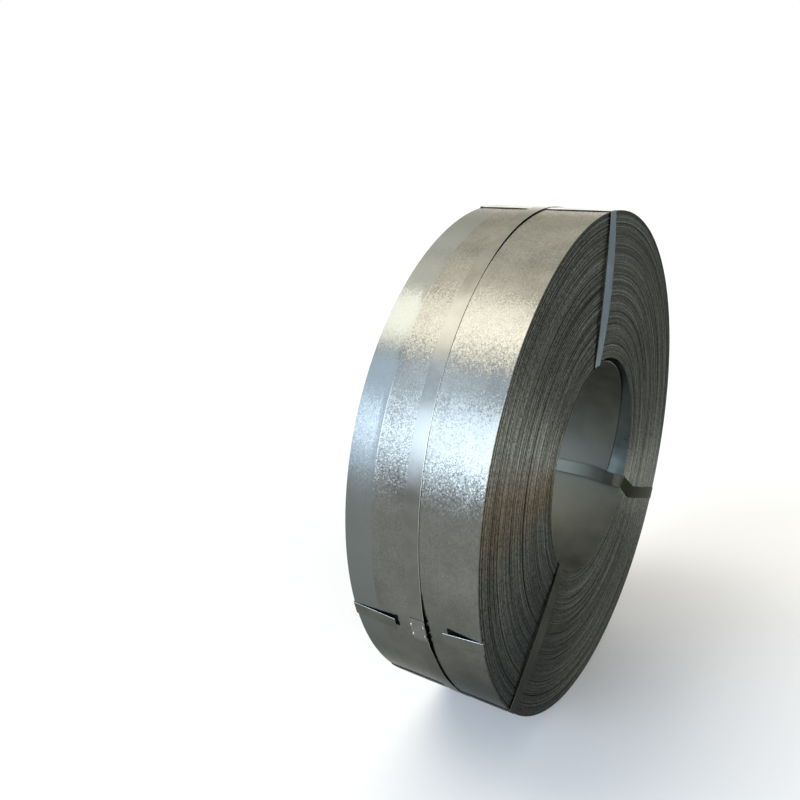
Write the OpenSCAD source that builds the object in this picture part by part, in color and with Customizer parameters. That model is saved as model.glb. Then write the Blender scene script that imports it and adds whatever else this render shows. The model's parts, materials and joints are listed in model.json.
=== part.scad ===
// Coil of galvanised slit steel strip, lying with its bore level and held by steel strapping:
// one belt strap round the outside, three eye straps through the bore and one edge clip.
// Millimetres, Z up. The origin is the middle of the bore and X runs along the bore.

/* [Strip] */
// Width of the strip, which is the length of the coil
strip_w = 295; // [200:5:450]
// Thickness of the strip, which is the pitch of the turns
strip_t = 3; // [2:0.25:4]
// Number of turns
turns = 111; // [80:1:140]
// How far the edges of most turns sit back from the ends of the coil, at most
edge_scatter = 1.2; // [0.2:0.1:2]
// How much further back the few slipped turns sit, which show as dark rings
slip_depth = 2.4; // [0.5:0.1:5]

/* [Bore] */
// Diameter of the bore
bore_d = 508; // [406:2:610]
// How far the inner end of the strip has crept into the bore
head_creep = 48; // [10:1:80]
// Direction of the inner end of the strip round the axis, in degrees from +Y towards +Z
head_angle = 331; // [320:1:345]
// Angle of winding over which the creep runs out
head_sweep = 109; // [60:1:130]
// Angle by which the slant of the crept edge peaks before the inner end
head_lead = 36; // [0:1:40]

/* [Strapping] */
// Width of the steel strap
strap_w = 32; // [19:1:40]
// Thickness of the steel strap
strap_t = 0.8; // [0.5:0.1:1.2]
// Clearance between a strap and what it lies on
strap_gap = 0.25; // [0.15:0.05:0.3]

/* [Belt] */
// Distance of the middle of the belt from the middle of the coil
belt_shift = -1; // [-10:0.5:10]
// Angle by which the belt lies askew round the coil
belt_tilt = 1.5; // [0:0.1:2.5]
// Direction in which the askew belt crosses its own middle, on its way to the near end
belt_tilt_dir = 150; // [120:1:180]
// Direction in which the belt stands off the coil near the top
crest_angle = 105; // [102:0.5:110]
// How far it stands off there
crest_h = 3.2; // [2:0.1:6]
// Angle on each side over which that runs out
crest_span = 19; // [15:0.5:22]

/* [Eye straps] */
// Direction of the eye strap over the top, at the outside of the coil
top_angle = 91.1; // [88:0.1:94]
// Slant of that strap on the ends of the coil, away from the radius
top_slant = 6; // [0:0.5:8]
// Lean of that strap along the outside of the coil, away from the direction of the bore
top_lean = 5; // [0:0.5:5]
// How far that strap bows off the near end
top_bow = 5.5; // [1:0.5:10]
// Direction of the eye strap at the lower rear
rear_angle = 333; // [325:0.5:345]
// How far that strap bows off the near end
rear_bow = 7; // [1:0.5:10]
// How far that strap is knocked sideways on the near end
rear_dip = 24; // [0:1:40]
// Distance of that knock from the bore
rear_dip_at = 92; // [60:1:140]
// Direction of the eye strap at the lower front
front_angle = 225.5; // [222:0.5:236]
// How far that strap bows off the near end
front_bow = 5; // [1:0.5:10]
// How far an eye strap bows off the outside of the coil, on both sides of the belt
side_bow = 1.2; // [0.4:0.1:3]

/* [Seals] */
// Length of a seal along its strap
seal_l = 57; // [40:1:70]
// Wall of a seal
seal_t = 0.9; // [0.6:0.1:1.2]
// Clearance between a seal and the strap inside it
seal_gap = 0.2; // [0.2:0.05:0.3]
// Radius of a crimp notch in the edge of a seal
notch_r = 3.2; // [2:0.1:4]
// Spacing of the two crimp notches on each edge
notch_pitch = 26; // [18:1:32]
// How far the turned lug of a notch stands out from the seal
lug_rise = 2.2; // [1:0.1:4]

/* [Belt slack] */
// Direction in which the slack of the belt stands off the coil most
slack_angle = 199; // [196:0.5:202]
// How far it stands off there
slack_h = 6; // [4:0.5:9]
// Angle on each side over which the slack runs out
slack_span = 11; // [10:0.5:13]
// Direction of the middle of the lower slack, under the seal
low_slack_angle = 209; // [207:0.5:212]
// How far the belt stands off there
low_slack_h = 3.2; // [2:0.1:5]
// Angle on each side over which that slack runs out
low_slack_span = 14; // [12:0.5:16]
// Distance of the seal from the crest of the slack, up the front
seal_back = 10; // [0:1:20]
// Direction of the cut end of the lapped belt
lap_end_angle = 157.5; // [140:0.5:175]

/* [Edge clip] */
// Direction of the middle of the clip
clip_angle = 198.4; // [190:0.1:204]
// Slant of the clip under the outermost turn, away from the direction of the bore
clip_slant = 2.5; // [0:0.5:3]
// Length of the flap on the far side
far_flap_l = 103; // [60:1:110]
// Angle at which that flap lifts off the coil
far_flap_lift = 3; // [1:0.5:12]
// Length of the flap on the near side
near_flap_l = 80; // [60:1:95]
// Angle at which that flap lifts off the coil
near_flap_lift = 5.5; // [1:0.5:12]

/* [Hidden] */
$fn = 96;

bore_r = bore_d / 2;
coil_r = bore_r + turns * strip_t;
half_w = strip_w / 2;
reach = 2 * (coil_r + strip_w);

// Edge of each turn: set back by a share that repeats only after many turns, and further where the turn
// slipped. The first and the last turn are flush.
scatter_step = 137.5;
slip_cycle = 37;
SLIPPED = [11, 21, 27, 31, 34, 36];
function slip(i) = len(search(i % slip_cycle, SLIPPED)) * slip_depth;
function scatter(i) = edge_scatter * (0.5 - 0.5 * cos(i * scatter_step));
function set_back(i) = (i == 0 || i == turns - 1) ? 0 : scatter(i) + slip(i);

// The cut left by the inner end is turned a little past the place where its slant leaves the coil
head_over = 20;

// An eye strap is bent so sharply that it still clears the edge of the coil
bend_ratio = 1.4;
bend_r = bend_ratio * strap_gap;
strap_top = strap_gap + strap_t;

// A bowed stretch is an arc that starts a little inside the bends at its ends
bow_in = 14;
function bow_r(chord, rise) = (chord * chord / 4 + rise * rise) / (2 * rise);
// Half the angle of the ring that an eye strap is cut from: more than its width and slant take
ring_half = 32;

// The strap steps out from the far end of the coil to let its seal in under it
seal_rise = seal_t + seal_gap;
lap_h = strap_gap + seal_rise + strap_t;
lap_out = 12;
step_l = 30;
seal_r = (bore_r + coil_r) / 2;

// Place of the middle of the askew belt along the bore, at a point p seen along the bore
function belt_z(p) = belt_shift + tan(belt_tilt) * (p.y * cos(belt_tilt_dir) - p.x * sin(belt_tilt_dir));
function on_coil(a) = coil_r * [cos(a), sin(a)];

// The belt lies on the coil, and is lifted over each eye strap and where it is slack
belt_r = coil_r + strap_gap;
top_cross = top_angle + asin((half_w - belt_z(on_coil(top_angle))) * tan(top_lean) / coil_r);
cross_gap = 0.3;
cross_h = strap_top + cross_gap;
cross_ratio = 1.75;
cross_span = cross_ratio * asin(strap_w / belt_r);
LIFTS = [[top_cross, cross_h, cross_span], [rear_angle, cross_h, cross_span],
    [front_angle, cross_h, cross_span], [crest_angle, crest_h, crest_span],
    [slack_angle, slack_h, slack_span], [low_slack_angle, low_slack_h, low_slack_span]];
function lift_out(h, span) = (pow(belt_r + h, 2) - pow(belt_r, 2)) / (2 * (belt_r + h - belt_r * cos(span)));
function lift_r(h, span) = belt_r + h - lift_out(h, span);
slack_r = lift_r(slack_h, slack_span);
slack_out = lift_out(slack_h, slack_span);
seal_turn = slack_angle - seal_back / slack_r * 180 / PI;
seal_arc = seal_l / slack_r * 180 / PI;
seal_yaw = atan(tan(belt_tilt) * cos(seal_turn - belt_tilt_dir));
// Taper where the outer layer of the lap comes down on the single strap below the seal
taper_arc = 4;

// A notch goes right through a seal and both layers of strap, and its lug stands just inside it
notch_h = 4 * (strap_t + seal_t + seal_gap);
lug_in = 1.6 * notch_r;

// The slot for the clip lies under the outermost turn, and the hooks stand out as far as the slant needs
clip_top = coil_r - strip_t - strap_gap;
hook_in = strip_t / 2 + strap_gap;
hook_mid = coil_r - strip_t / 2;
hook_end = half_w + strap_w / 2 * sin(clip_slant);
// Each flap lies straight along the bore, as far round from the middle of the clip as the slant takes it
clip_off = asin(half_w * sin(clip_slant) / coil_r);

// Turning frame: built about Z, then laid down with the turning axis along X
module laid() {
    rotate([90, 0, 90]) children();
}

// Cross-section of the coil, with one step for each turn on both ends
module coil_section() {
    polygon(concat(
        [for (i = [0 : turns - 1]) each [
            [bore_r + i * strip_t, -half_w + set_back(i)],
            [bore_r + (i + 1) * strip_t, -half_w + set_back(i)]]],
        [for (i = [turns - 1 : -1 : 0]) each [
            [bore_r + (i + 1) * strip_t, half_w - set_back(i)],
            [bore_r + i * strip_t, half_w - set_back(i)]]]));
}

// What the creeping inner end of the strip leaves open behind it: the first turn, cut along a slant
module head_cut() {
    swing = head_creep / (cos(head_lead) - cos(head_lead + head_sweep));
    rotate([0, 0, head_angle]) intersection() {
        rotate_extrude(angle = head_sweep + head_over)
            translate([bore_r - strip_t, half_w - head_creep])
                square([2 * strip_t, 2 * head_creep]);
        translate([0, 0, half_w + swing * cos(head_lead + head_sweep)])
            rotate([0, 0, -head_lead]) rotate([0, atan(swing / bore_r), 0])
                translate([-reach / 2, -reach / 2, 0])
                    cube(reach);
    }
}

module clip_slot() {
    rotate([0, 0, clip_angle]) rotate([clip_slant, 0, 0])
        translate([clip_top - strap_top, -strap_w / 2 - strap_gap, -strip_w])
            cube([strap_top + strap_gap, strap_w + 2 * strap_gap, 2 * strip_w]);
}

module coil() {
    color("#8d9296") laid() difference() {
        rotate_extrude() coil_section();
        head_cut();
        clip_slot();
    }
}

// Outline of a tight band at a height h above the belt's inner face
module belt_outline(h) {
    circle(belt_r + h);
    for (lift = LIFTS)
        rotate(lift[0])
            translate([lift_out(lift[1], lift[2]), 0])
                circle(lift_r(lift[1], lift[2]) + h);
}

// A point on the slack stretch of the belt, at a height h above its inner face
slack_mid = slack_out * [cos(slack_angle), sin(slack_angle)];
function slack_point(a, h) = slack_mid + (slack_r + h) * [cos(a), sin(a)];

module belt_section() {
    lap_turn = seal_turn + seal_arc;
    core_h = strap_t / 2;
    difference() {
        union() {
            belt_outline(strap_t);
            intersection() {
                belt_outline(2 * strap_t);
                polygon(concat([[0, 0]], [for (a = [lap_end_angle, (lap_end_angle + lap_turn) / 2])
                    reach * [cos(a), sin(a)]], [slack_point(lap_turn, reach), slack_point(lap_turn, 0)]));
            }
            polygon([slack_point(lap_turn, core_h), slack_point(lap_turn, 2 * strap_t),
                slack_point(lap_turn + taper_arc, strap_t), slack_point(lap_turn + taper_arc, core_h)]);
        }
        belt_outline(0);
    }
}

// Crimp notches bitten out of both edges of a seal and of the strap inside it, about the middle of the seal,
// with the seal lying along Y and facing along X
module crimp_notches() {
    for (side = [-1, 1], along = [-1, 1])
        translate([0, along * notch_pitch / 2, side * (strap_w / 2 + seal_gap + seal_t)])
            rotate([0, 90, 0])
                cylinder(r = notch_r, h = notch_h, center = true);
}

// Moves something made about the middle of the slack's arc, facing along X, to the direction of the
// belt's seal, and turns it askew with the belt
module at_slack() {
    translate([slack_mid.x, slack_mid.y, belt_z(slack_point(seal_turn, strap_t))])
        rotate([0, 0, seal_turn]) rotate([seal_yaw, 0, 0])
            children();
}

// Moves something made about the middle of the belt's seal to its place
module at_belt_seal() {
    at_slack() translate([slack_r + strap_t, 0, 0]) children();
}

// The belt is what an askew slab of its width cuts from a wider band
module belt_strap() {
    sway = abs(belt_shift) + belt_r * tan(belt_tilt) + strap_w;
    color("#9a9ea1") laid() difference() {
        intersection() {
            linear_extrude(2 * sway, center = true) belt_section();
            translate([0, 0, belt_shift]) rotate([0, 0, belt_tilt_dir]) rotate([belt_tilt, 0, 0])
                cube([reach, reach, strap_w], center = true);
        }
        at_belt_seal() crimp_notches();
    }
}

// Metal turned out of a crimp notch
module lugs(face) {
    for (side = [-1, 1], along = [-1, 1])
        translate([face - seal_t, along * notch_pitch / 2 - notch_r / 2, side * (strap_w / 2 - lug_in)])
            cube([seal_t + lug_rise, notch_r, seal_t]);
}

module belt_seal() {
    hole_w = strap_w + 2 * seal_gap;
    hole_h = 2 * strap_t + 2 * seal_gap;
    color("#8a8f93") laid() {
        difference() {
            at_slack() rotate([0, 0, -seal_arc / 2])
                rotate_extrude(angle = seal_arc)
                    translate([slack_r - seal_gap, 0]) difference() {
                        translate([-seal_t, -hole_w / 2 - seal_t])
                            square([hole_h + 2 * seal_t, hole_w + 2 * seal_t]);
                        translate([0, -hole_w / 2])
                            square([hole_h, hole_w]);
                    }
            at_belt_seal() crimp_notches();
        }
        at_belt_seal() lugs(strap_t + seal_gap + seal_t);
    }
}

module rounded_box(low, high, r) {
    translate([low.x + r, low.y])
        square([high.x - low.x - 2 * r, high.y - low.y]);
    translate([low.x, low.y + r])
        square([high.x - low.x, high.y - low.y - 2 * r]);
    for (x = [low.x + r, high.x - r], y = [low.y + r, high.y - r])
        translate([x, y]) circle(r);
}

// Crown of a bowed stretch at a height h above its inner face: its chord lies along X and it rises along Y
module crown(chord, rise, h) {
    intersection() {
        translate([0, rise - bow_r(chord, rise)])
            circle(bow_r(chord, rise) + h);
        translate([-chord / 2 - bow_in / 2, -strap_gap])
            square([chord + bow_in, 2 * rise + h + strap_gap]);
    }
}

// Outline of an eye strap at a height h above its inner face, in the plane through the axis, bowed off the
// near end and off the outside on both sides of the belt, with the step that lets the seal in on the far end
module eye_outline(h, bow, belt_at) {
    out = strap_gap + h;
    flat = seal_l / 2 + lap_out;
    rounded_box([bore_r - out, -half_w - out], [coil_r + out, half_w + out], bend_r + h);
    translate([seal_r, half_w + strap_gap])
        crown(coil_r - bore_r - 2 * bow_in, bow, h);
    for (side = [-1, 1])
        translate([coil_r + strap_gap, (belt_at + side * (half_w + strap_w / 2)) / 2])
            rotate(-90) crown(half_w - side * belt_at - strap_w / 2 - 2 * bow_in, side_bow, h);
    translate([seal_r, -half_w - out])
        polygon([[-flat - step_l, 0], [-flat, -seal_rise], [flat, -seal_rise], [flat + step_l, 0]]);
}

// Turns something about the outside of the coil, so that it slants on the ends
module slanted(slant) {
    translate([coil_r, 0, 0]) rotate([0, 0, -slant])
        translate([-coil_r, 0, 0]) children();
}

// Turns something about the edge of the near end, so that it leans along the outside and in the bore
module leaned(lean) {
    translate([0, 0, half_w]) rotate([lean, 0, 0])
        translate([0, 0, -half_w]) children();
}

// Loop of an eye strap: a ring round the section of the coil, of which the children keep one band
module eye_strap(angle, slant, lean, bow) {
    flat = seal_l / 2 + lap_out;
    belt_at = belt_z(on_coil(angle));
    rotate([0, 0, angle]) difference() {
        intersection() {
            rotate([0, 0, -ring_half]) rotate_extrude(angle = 2 * ring_half) {
                difference() {
                    eye_outline(strap_t, bow, belt_at);
                    eye_outline(0, bow, belt_at);
                }
                translate([seal_r - flat, -half_w - lap_h - strap_t])
                    square([2 * flat, strap_t]);
            }
            slanted(slant) leaned(lean) children();
        }
        slanted(slant) at_eye_seal(lean) crimp_notches();
    }
}

module straight_band() {
    translate([0, -strap_w / 2, -reach / 2])
        cube([reach, strap_w, reach]);
}

// Band that is straight on the far end and knocked sideways on the near end
module dipped_band() {
    side = strap_w / 2;
    knock = [[0, 0], [bore_r, 0], [bore_r + rear_dip_at, -rear_dip], [coil_r, 0], [reach, 0]];
    translate([0, -side, -reach / 2])
        cube([reach, strap_w, reach / 2]);
    linear_extrude(reach / 2)
        polygon(concat([for (p = knock) p - [0, side]],
            [for (i = [len(knock) - 1 : -1 : 0]) knock[i] + [0, side]]));
}

// Moves something made about the middle of a seal to the far end of the coil, along the radius,
// and aside as far as its strap has leaned there
module at_eye_seal(lean) {
    translate([seal_r, (strip_w + lap_h) * tan(lean), -half_w - lap_h])
        rotate([0, 90, 90])
            children();
}

module eye_seal(angle, slant, lean) {
    hole_w = strap_w + 2 * seal_gap;
    hole_h = 2 * strap_t + 2 * seal_gap;
    rotate([0, 0, angle]) slanted(slant) at_eye_seal(lean) {
        difference() {
            cube([hole_h + 2 * seal_t, seal_l, hole_w + 2 * seal_t], center = true);
            cube([hole_h, 2 * seal_l, hole_w], center = true);
            crimp_notches();
        }
        lugs(strap_t + seal_gap + seal_t);
    }
}

module eye_strap_top() {
    color("#9fb0b8") laid() eye_strap(top_angle, top_slant, top_lean, top_bow) straight_band();
}

module eye_strap_rear() {
    color("#8f8f88") laid() eye_strap(rear_angle, 0, 0, rear_bow) dipped_band();
}

module eye_strap_front() {
    color("#6f7680") laid() eye_strap(front_angle, 0, 0, front_bow) straight_band();
}

module eye_seal_top() {
    color("#8a8f93") laid() eye_seal(top_angle, top_slant, top_lean);
}

module eye_seal_rear() {
    color("#8a8f93") laid() eye_seal(rear_angle, 0, 0);
}

module eye_seal_front() {
    color("#8a8f93") laid() eye_seal(front_angle, 0, 0);
}

// One end of the clip: the hook round the edge of the outermost turn and the flap that lies back over it
module clip_end(flap_l, lift) {
    rotate([90, 0, 0]) linear_extrude(strap_w, center = true)
        translate([hook_mid, hook_end]) {
            difference() {
                circle(hook_in + strap_t);
                circle(hook_in);
                translate([-strip_w, -2 * strip_w])
                    square([2 * strip_w, 2 * strip_w]);
            }
            translate([hook_in, 0]) rotate(lift)
                translate([0, -flap_l])
                    square([strap_t, flap_l]);
        }
}

module edge_clip() {
    color("#a2a6a8") laid() {
        rotate([0, 0, clip_angle]) rotate([clip_slant, 0, 0])
            translate([clip_top - strap_t, -strap_w / 2, -hook_end])
                cube([strap_t, strap_w, 2 * hook_end]);
        rotate([0, 0, clip_angle - clip_off]) clip_end(near_flap_l, near_flap_lift);
        rotate([0, 0, clip_angle + clip_off]) mirror([0, 0, 1]) clip_end(far_flap_l, far_flap_lift);
    }
}

coil();
belt_strap();
belt_seal();
eye_strap_top();
eye_strap_rear();
eye_strap_front();
eye_seal_top();
eye_seal_rear();
eye_seal_front();
edge_clip();
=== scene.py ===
import json
import math
import random

import bmesh
import bpy
import numpy as np
from mathutils import Matrix, Vector


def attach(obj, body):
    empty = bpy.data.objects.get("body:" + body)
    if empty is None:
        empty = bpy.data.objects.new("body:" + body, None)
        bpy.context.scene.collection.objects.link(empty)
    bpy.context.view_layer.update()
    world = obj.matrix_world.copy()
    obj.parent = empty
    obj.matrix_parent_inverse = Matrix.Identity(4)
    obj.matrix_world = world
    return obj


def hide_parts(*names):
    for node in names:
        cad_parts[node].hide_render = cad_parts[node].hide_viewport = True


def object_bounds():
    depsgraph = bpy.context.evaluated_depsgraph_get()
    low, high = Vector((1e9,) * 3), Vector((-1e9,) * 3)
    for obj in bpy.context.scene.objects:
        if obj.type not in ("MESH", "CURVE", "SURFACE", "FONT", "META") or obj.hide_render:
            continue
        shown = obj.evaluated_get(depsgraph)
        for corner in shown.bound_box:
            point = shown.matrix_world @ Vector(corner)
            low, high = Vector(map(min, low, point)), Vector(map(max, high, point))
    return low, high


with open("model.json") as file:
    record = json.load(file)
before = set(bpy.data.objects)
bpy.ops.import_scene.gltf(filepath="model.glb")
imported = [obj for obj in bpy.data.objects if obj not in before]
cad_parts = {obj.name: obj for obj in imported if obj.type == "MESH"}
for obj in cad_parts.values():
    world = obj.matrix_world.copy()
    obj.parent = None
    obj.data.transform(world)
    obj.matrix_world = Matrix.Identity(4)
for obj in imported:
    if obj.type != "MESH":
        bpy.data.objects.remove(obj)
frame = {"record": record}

# A coil of galvanised strip lying with its bore level, held by steel strapping.
# Metres, Z up. X runs along the bore, angles go round it from +Y towards +Z.

mm = 0.001
cadBox = [list(map(float, corner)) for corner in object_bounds()]
boreMount = frame["record"]["mounts"][0]["dims"]
boreR = boreMount["r_mm"] * mm
halfW = boreMount["length_mm"] * mm / 2
noiseLow, noiseHigh = 0.3, 0.7  # nearly all of a noise texture lies between these


# Small helpers

def linearHex(code):
    channels = [int(code[i:i + 2], 16) / 255 for i in (1, 3, 5)]
    linear = [c / 12.92 if c <= 0.04045 else ((c + 0.055) / 1.055) ** 2.4 for c in channels]
    return (*linear, 1)


def addNode(tree, kind, settings=None, links=None):
    node = tree.nodes.new(kind)
    for key, value in (settings or {}).items():
        if isinstance(key, str) and hasattr(node, key):
            setattr(node, key, value)
        else:
            node.inputs[key].default_value = value
    for key, source in (links or {}).items():
        tree.links.new(source, node.inputs[key])
    return node


def startMaterial(name):
    material = bpy.data.materials.new(name)
    material.use_nodes = True
    tree = material.node_tree
    tree.nodes.clear()
    return material, tree


# Smooth all over, apart from edges that bend by more than the sharp angle
def addPiece(name, verts, faces, materials, node, faceSlots, sharp=32):
    mesh = bpy.data.meshes.new(name)
    mesh.from_pydata(verts, [], faces)
    mesh.validate()
    mesh.polygons.foreach_set("use_smooth", [True] * len(mesh.polygons))
    mesh.set_sharp_from_angle(angle=math.radians(sharp))
    for material in materials:
        mesh.materials.append(material)
    mesh.polygons.foreach_set("material_index", faceSlots)
    mesh.update()
    piece = bpy.data.objects.new(name, mesh)
    bpy.context.scene.collection.objects.link(piece)
    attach(piece, "root")
    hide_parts(node)
    return piece


def radialAxes(degrees):
    turn = math.radians(degrees)
    outward = Vector((0, math.cos(turn), math.sin(turn)))
    onward = Vector((0, -math.sin(turn), math.cos(turn)))
    return outward, onward


def smoothStep(low, high, value):
    share = min(max((value - low) / (high - low), 0), 1)
    return share * share * (3 - 2 * share)


# Materials

# Hot-dip galvanised strip: frozen zinc crystals, each tilted a little its own way, so the sheen
# breaks into flecks where light meets dark. Rolling leaves faint lines round the coil.
zinc = dict(
    dark="#5e5f5b", light="#6d6e6a", streak="#777872", band="#6a6f6e", grazing="#b0b0ae",
    spangleMm=2.3, tilt=0.062, grainTone=(0.86, 1.15), cloudMm=140, cloudRange=(0.36, 0.64),
    lineMm=2.2, lineLengthMm=500, lineRange=(0.55, 0.8), lineShare=0.5,  # lines coarsened to show
    roughness=(0.14, 0.26), bandMm=62, bandSoftMm=1.5, bandShare=0.75, bandTilt=0.45,
)


def zincStripMaterial():
    material, tree = startMaterial("hotDipGalvanisedStrip")
    place = addNode(tree, "ShaderNodeTexCoord").outputs["Object"]
    # Turned so that the angle's seam is at the foot of the coil
    turned = addNode(tree, "ShaderNodeMapping", {"Rotation": (-math.pi / 2, 0, 0)}, {"Vector": place})
    axes = addNode(tree, "ShaderNodeSeparateXYZ", links={0: turned.outputs[0]})
    # Lines round the coil: noise that is fine along the bore and long round it
    turn = addNode(tree, "ShaderNodeMath", {"operation": "ARCTAN2"},
                   {0: axes.outputs[2], 1: axes.outputs[1]})
    along = addNode(tree, "ShaderNodeMath", {"operation": "DIVIDE", 1: zinc["lineMm"] * mm},
                    {0: axes.outputs[0]})
    around = addNode(tree, "ShaderNodeMath",
                     {"operation": "MULTIPLY", 1: coil["outerR"] / (zinc["lineLengthMm"] * mm)},
                     {0: turn.outputs[0]})
    lineSpace = addNode(tree, "ShaderNodeCombineXYZ", links={0: along.outputs[0], 1: around.outputs[0]})
    lines = addNode(tree, "ShaderNodeTexNoise", {"Scale": 1, "Detail": 3, "Roughness": 0.6},
                    {"Vector": lineSpace.outputs[0]})
    clouds = addNode(tree, "ShaderNodeTexNoise",
                     {"Scale": 1 / (zinc["cloudMm"] * mm), "Detail": 5, "Roughness": 0.62},
                     {"Vector": place})
    spangle = addNode(tree, "ShaderNodeTexVoronoi", {"Scale": 1 / (zinc["spangleMm"] * mm)},
                      {"Vector": place})
    # The smoother band along the far edge, its lighter, bluer colour a painted reflection
    band = addNode(tree, "ShaderNodeMapRange",
                   {"From Min": -halfW + (zinc["bandMm"] + zinc["bandSoftMm"]) * mm,
                    "From Max": -halfW + (zinc["bandMm"] - zinc["bandSoftMm"]) * mm},
                   {"Value": axes.outputs[0]})
    cloudLow, cloudHigh = zinc["cloudRange"]
    tone = addNode(tree, "ShaderNodeMapRange", {"From Min": cloudLow, "From Max": cloudHigh},
                   {"Value": clouds.outputs[0]})
    cloudy = addNode(tree, "ShaderNodeMix",
                     {"data_type": "RGBA", 6: linearHex(zinc["dark"]), 7: linearHex(zinc["light"])},
                     {0: tone.outputs[0]})
    lineLow, lineHigh = zinc["lineRange"]
    lineTone = addNode(tree, "ShaderNodeMapRange",
                       {"From Min": lineLow, "From Max": lineHigh, "To Max": zinc["lineShare"]},
                       {"Value": lines.outputs[0]})
    lined = addNode(tree, "ShaderNodeMix", {"data_type": "RGBA", 7: linearHex(zinc["streak"])},
                    {0: lineTone.outputs[0], 6: cloudy.outputs[2]})
    grain = addNode(tree, "ShaderNodeSeparateColor", links={0: spangle.outputs["Color"]})
    grainLow, grainHigh = zinc["grainTone"]
    grainTone = addNode(tree, "ShaderNodeMapRange", {"To Min": grainLow, "To Max": grainHigh},
                        {"Value": grain.outputs[2]})
    grained = addNode(tree, "ShaderNodeMix", {"data_type": "RGBA", "blend_type": "MULTIPLY", 0: 1},
                      {6: lined.outputs[2], 7: grainTone.outputs[0]})
    bandMix = addNode(tree, "ShaderNodeMath", {"operation": "MULTIPLY", 1: zinc["bandShare"]},
                      {0: band.outputs[0]})
    colour = addNode(tree, "ShaderNodeMix", {"data_type": "RGBA", 7: linearHex(zinc["band"])},
                     {0: bandMix.outputs[0], 6: grained.outputs[2]})
    # Each crystal faces a little its own way, a few of them a lot, and less in the smooth band
    tiltAmount = addNode(tree, "ShaderNodeMapRange",
                         {"To Min": zinc["tilt"], "To Max": zinc["bandTilt"] * zinc["tilt"]},
                         {"Value": band.outputs[0]})
    offCentre = addNode(tree, "ShaderNodeVectorMath",
                        {"operation": "MULTIPLY_ADD", 1: (2, 2, 2), 2: (-1, -1, -1)},
                        {0: spangle.outputs["Color"]})
    offSize = addNode(tree, "ShaderNodeVectorMath", {"operation": "ABSOLUTE"}, {0: offCentre.outputs[0]})
    offTail = addNode(tree, "ShaderNodeVectorMath", {"operation": "MULTIPLY"},
                      {0: offCentre.outputs[0], 1: offSize.outputs[0]})
    tilted = addNode(tree, "ShaderNodeVectorMath", {"operation": "SCALE"},
                     {0: offTail.outputs[0], "Scale": tiltAmount.outputs[0]})
    surface = addNode(tree, "ShaderNodeNewGeometry").outputs["Normal"]
    facing = addNode(tree, "ShaderNodeVectorMath", {"operation": "ADD"},
                     {0: surface, 1: tilted.outputs[0]})
    facing = addNode(tree, "ShaderNodeVectorMath", {"operation": "NORMALIZE"}, {0: facing.outputs[0]})
    smooth, rough = zinc["roughness"]
    dull = addNode(tree, "ShaderNodeMapRange",
                   {"From Min": noiseLow, "From Max": noiseHigh, "To Min": smooth, "To Max": rough},
                   {"Value": clouds.outputs[0]})
    shader = addNode(tree, "ShaderNodeBsdfPrincipled",
                     {"Metallic": 1, "Specular Tint": linearHex(zinc["grazing"])},
                     {"Base Color": colour.outputs[2], "Roughness": dull.outputs[0],
                      "Normal": facing.outputs[0]})
    addNode(tree, "ShaderNodeOutputMaterial", links={0: shader.outputs[0]})
    return material


# Slit edges of the strip: sheared bare steel, dull, each turn a little lighter or darker than the
# next, so a lamp's sheen is drawn out along the radius. Brown-tinted in one sector.
slitEdge = dict(
    dark="#484a45", mid="#5b5d57", light="#8f928b", brown="#75603f", grazing="#c6c8c7",
    streaksMm=((3.1, 900, 1), (10, 420, 2)),  # across the turns, along the arc, and the detail
    groupRange=(0.36, 0.64), glintRange=(0.52, 0.74), glintShare=0.62,
    seamRange=(0.28, 0.46), seamTone=0.32,
    burrMm=4.5, burr=0.45,  # a real burr is some 0.5 mm long, coarsened to show
    roughness=(0.46, 0.68), combed=0.93, combTurn=0.25,
    seamAngle=225.5, brownAngle=173, brownHalf=17, brownShare=0.5, brownRange=(0.3, 0.62),
)


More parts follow.
